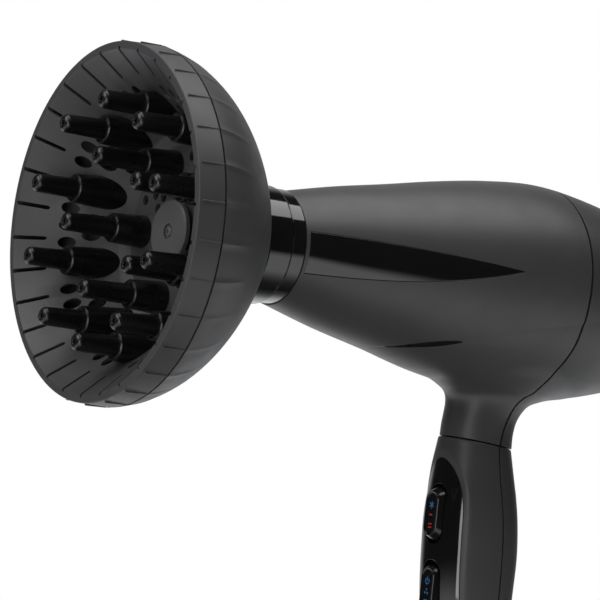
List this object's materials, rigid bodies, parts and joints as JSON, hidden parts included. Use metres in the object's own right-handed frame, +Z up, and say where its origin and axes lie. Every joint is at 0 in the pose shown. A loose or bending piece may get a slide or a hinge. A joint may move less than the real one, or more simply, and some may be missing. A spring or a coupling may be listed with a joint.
{
  "type": "hair dryer",
  "caption": "Pistol-grip hair dryer with a finger diffuser on its nozzle, rocker switches on the grip, a clip-off intake cap and a hanging eye.",
  "frame": {"origin": "on the barrel axis, in the middle of the nose between the diffuser collar and the nose ring", "axes": "+X along the barrel from the air outlet to the intake, +Z up, the grip hangs toward -Z"},
  "size_m": [0.289, 0.1472, 0.2969],
  "materials": {
    "diffuser_plastic": "matt, fine grain",
    "finger_plastic": "satin",
    "deflector_plastic": "matt",
    "body_plastic": "matt soft-touch",
    "rear_plastic": "matt",
    "gloss_black": "polished",
    "rocker_plastic": "satin gloss",
    "inner_plastic": "matt",
    "white_plastic": "matt",
    "steel": "brushed",
    "mica": "layered, satin",
    "heating_wire": "oxidised",
    "laminations": "varnished",
    "magnet": "matt",
    "copper": "turned",
    "bronze": "sintered",
    "carbon": "matt",
    "rubber": "matt",
    "circuit_board": "satin lacquer",
    "wire_sleeve": "satin"
  },
  "bodies": {
    "dryer": {"nose_ring": "gloss_black", "outlet_nozzle": "inner_plastic", "outlet_grille": "steel", "front_housing": "body_plastic", "rear_housing": "rear_plastic", "inlay_left": "gloss_black", "inlay_right": "gloss_black", "belly_trim": "gloss_black", "heater_sleeve": "mica", "heater_boards": "mica", "heater_coil_low": "heating_wire", "heater_coil_high": "heating_wire", "thermostat": "steel", "thermal_fuse": "white_plastic", "air_funnel": "inner_plastic", "fan_duct": "inner_plastic", "motor_damper": "rubber", "motor_can": "steel", "motor_magnets": "magnet", "motor_end_plate": "white_plastic", "bearing_bushes": "bronze", "motor_brushes": "carbon", "rectifier_board": "circuit_board", "grip_front_shell": "body_plastic", "grip_rear_shell": "rear_plastic", "control_panel": "gloss_black", "rocker_frame": "inner_plastic", "rocker_pins": "steel", "switch_modules": "inner_plastic", "switch_board": "circuit_board", "wiring": "wire_sleeve", "end_cap": "rear_plastic", "cord_bush": "rubber", "cord_clamp": "white_plastic", "clamp_screws": "steel", "grip_screws": "steel", "housing_screws": "steel"},
    "collar": {"diffuser_collar": "gloss_black"},
    "diffuser": {"diffuser_bowl": "diffuser_plastic", "diffuser_dish": "diffuser_plastic", "diffuser_fingers": "finger_plastic", "deflector_disc": "deflector_plastic", "deflector_pin": "deflector_plastic"},
    "fan": {"rotor": "laminations", "commutator": "copper", "motor_shaft": "steel", "impeller": "inner_plastic"},
    "heat_switch": {"heat_rocker": "rocker_plastic"},
    "speed_switch": {"speed_rocker": "rocker_plastic"},
    "intake": {"intake_grille": "rear_plastic", "lint_filter": "steel"}
  },
  "joints": [
    {"name": "diffuser_pull", "type": "slide", "parent": "dryer", "child": "collar", "axis": [-1, 0, 0], "range_m": [0, 0.03]},
    {"name": "diffuser_turn", "type": "hinge", "parent": "collar", "child": "diffuser", "pos_m": [0, 0, 0], "axis": [1, 0, 0], "continuous": true},
    {"name": "fan_spin", "type": "hinge", "parent": "dryer", "child": "fan", "pos_m": [0.14, 0, 0], "axis": [1, 0, 0], "continuous": true},
    {"name": "heat_rock", "type": "hinge", "parent": "dryer", "child": "heat_switch", "pos_m": [0.11553, 0, -0.1047], "axis": [0, 1, 0], "range_deg": [-7, 7]},
    {"name": "speed_rock", "type": "hinge", "parent": "dryer", "child": "speed_switch", "pos_m": [0.11744, 0, -0.1377], "axis": [0, 1, 0], "range_deg": [-7, 7]},
    {"name": "intake_pull", "type": "slide", "parent": "dryer", "child": "intake", "axis": [1, 0, 0], "range_m": [0, 0.03]}
  ]
}
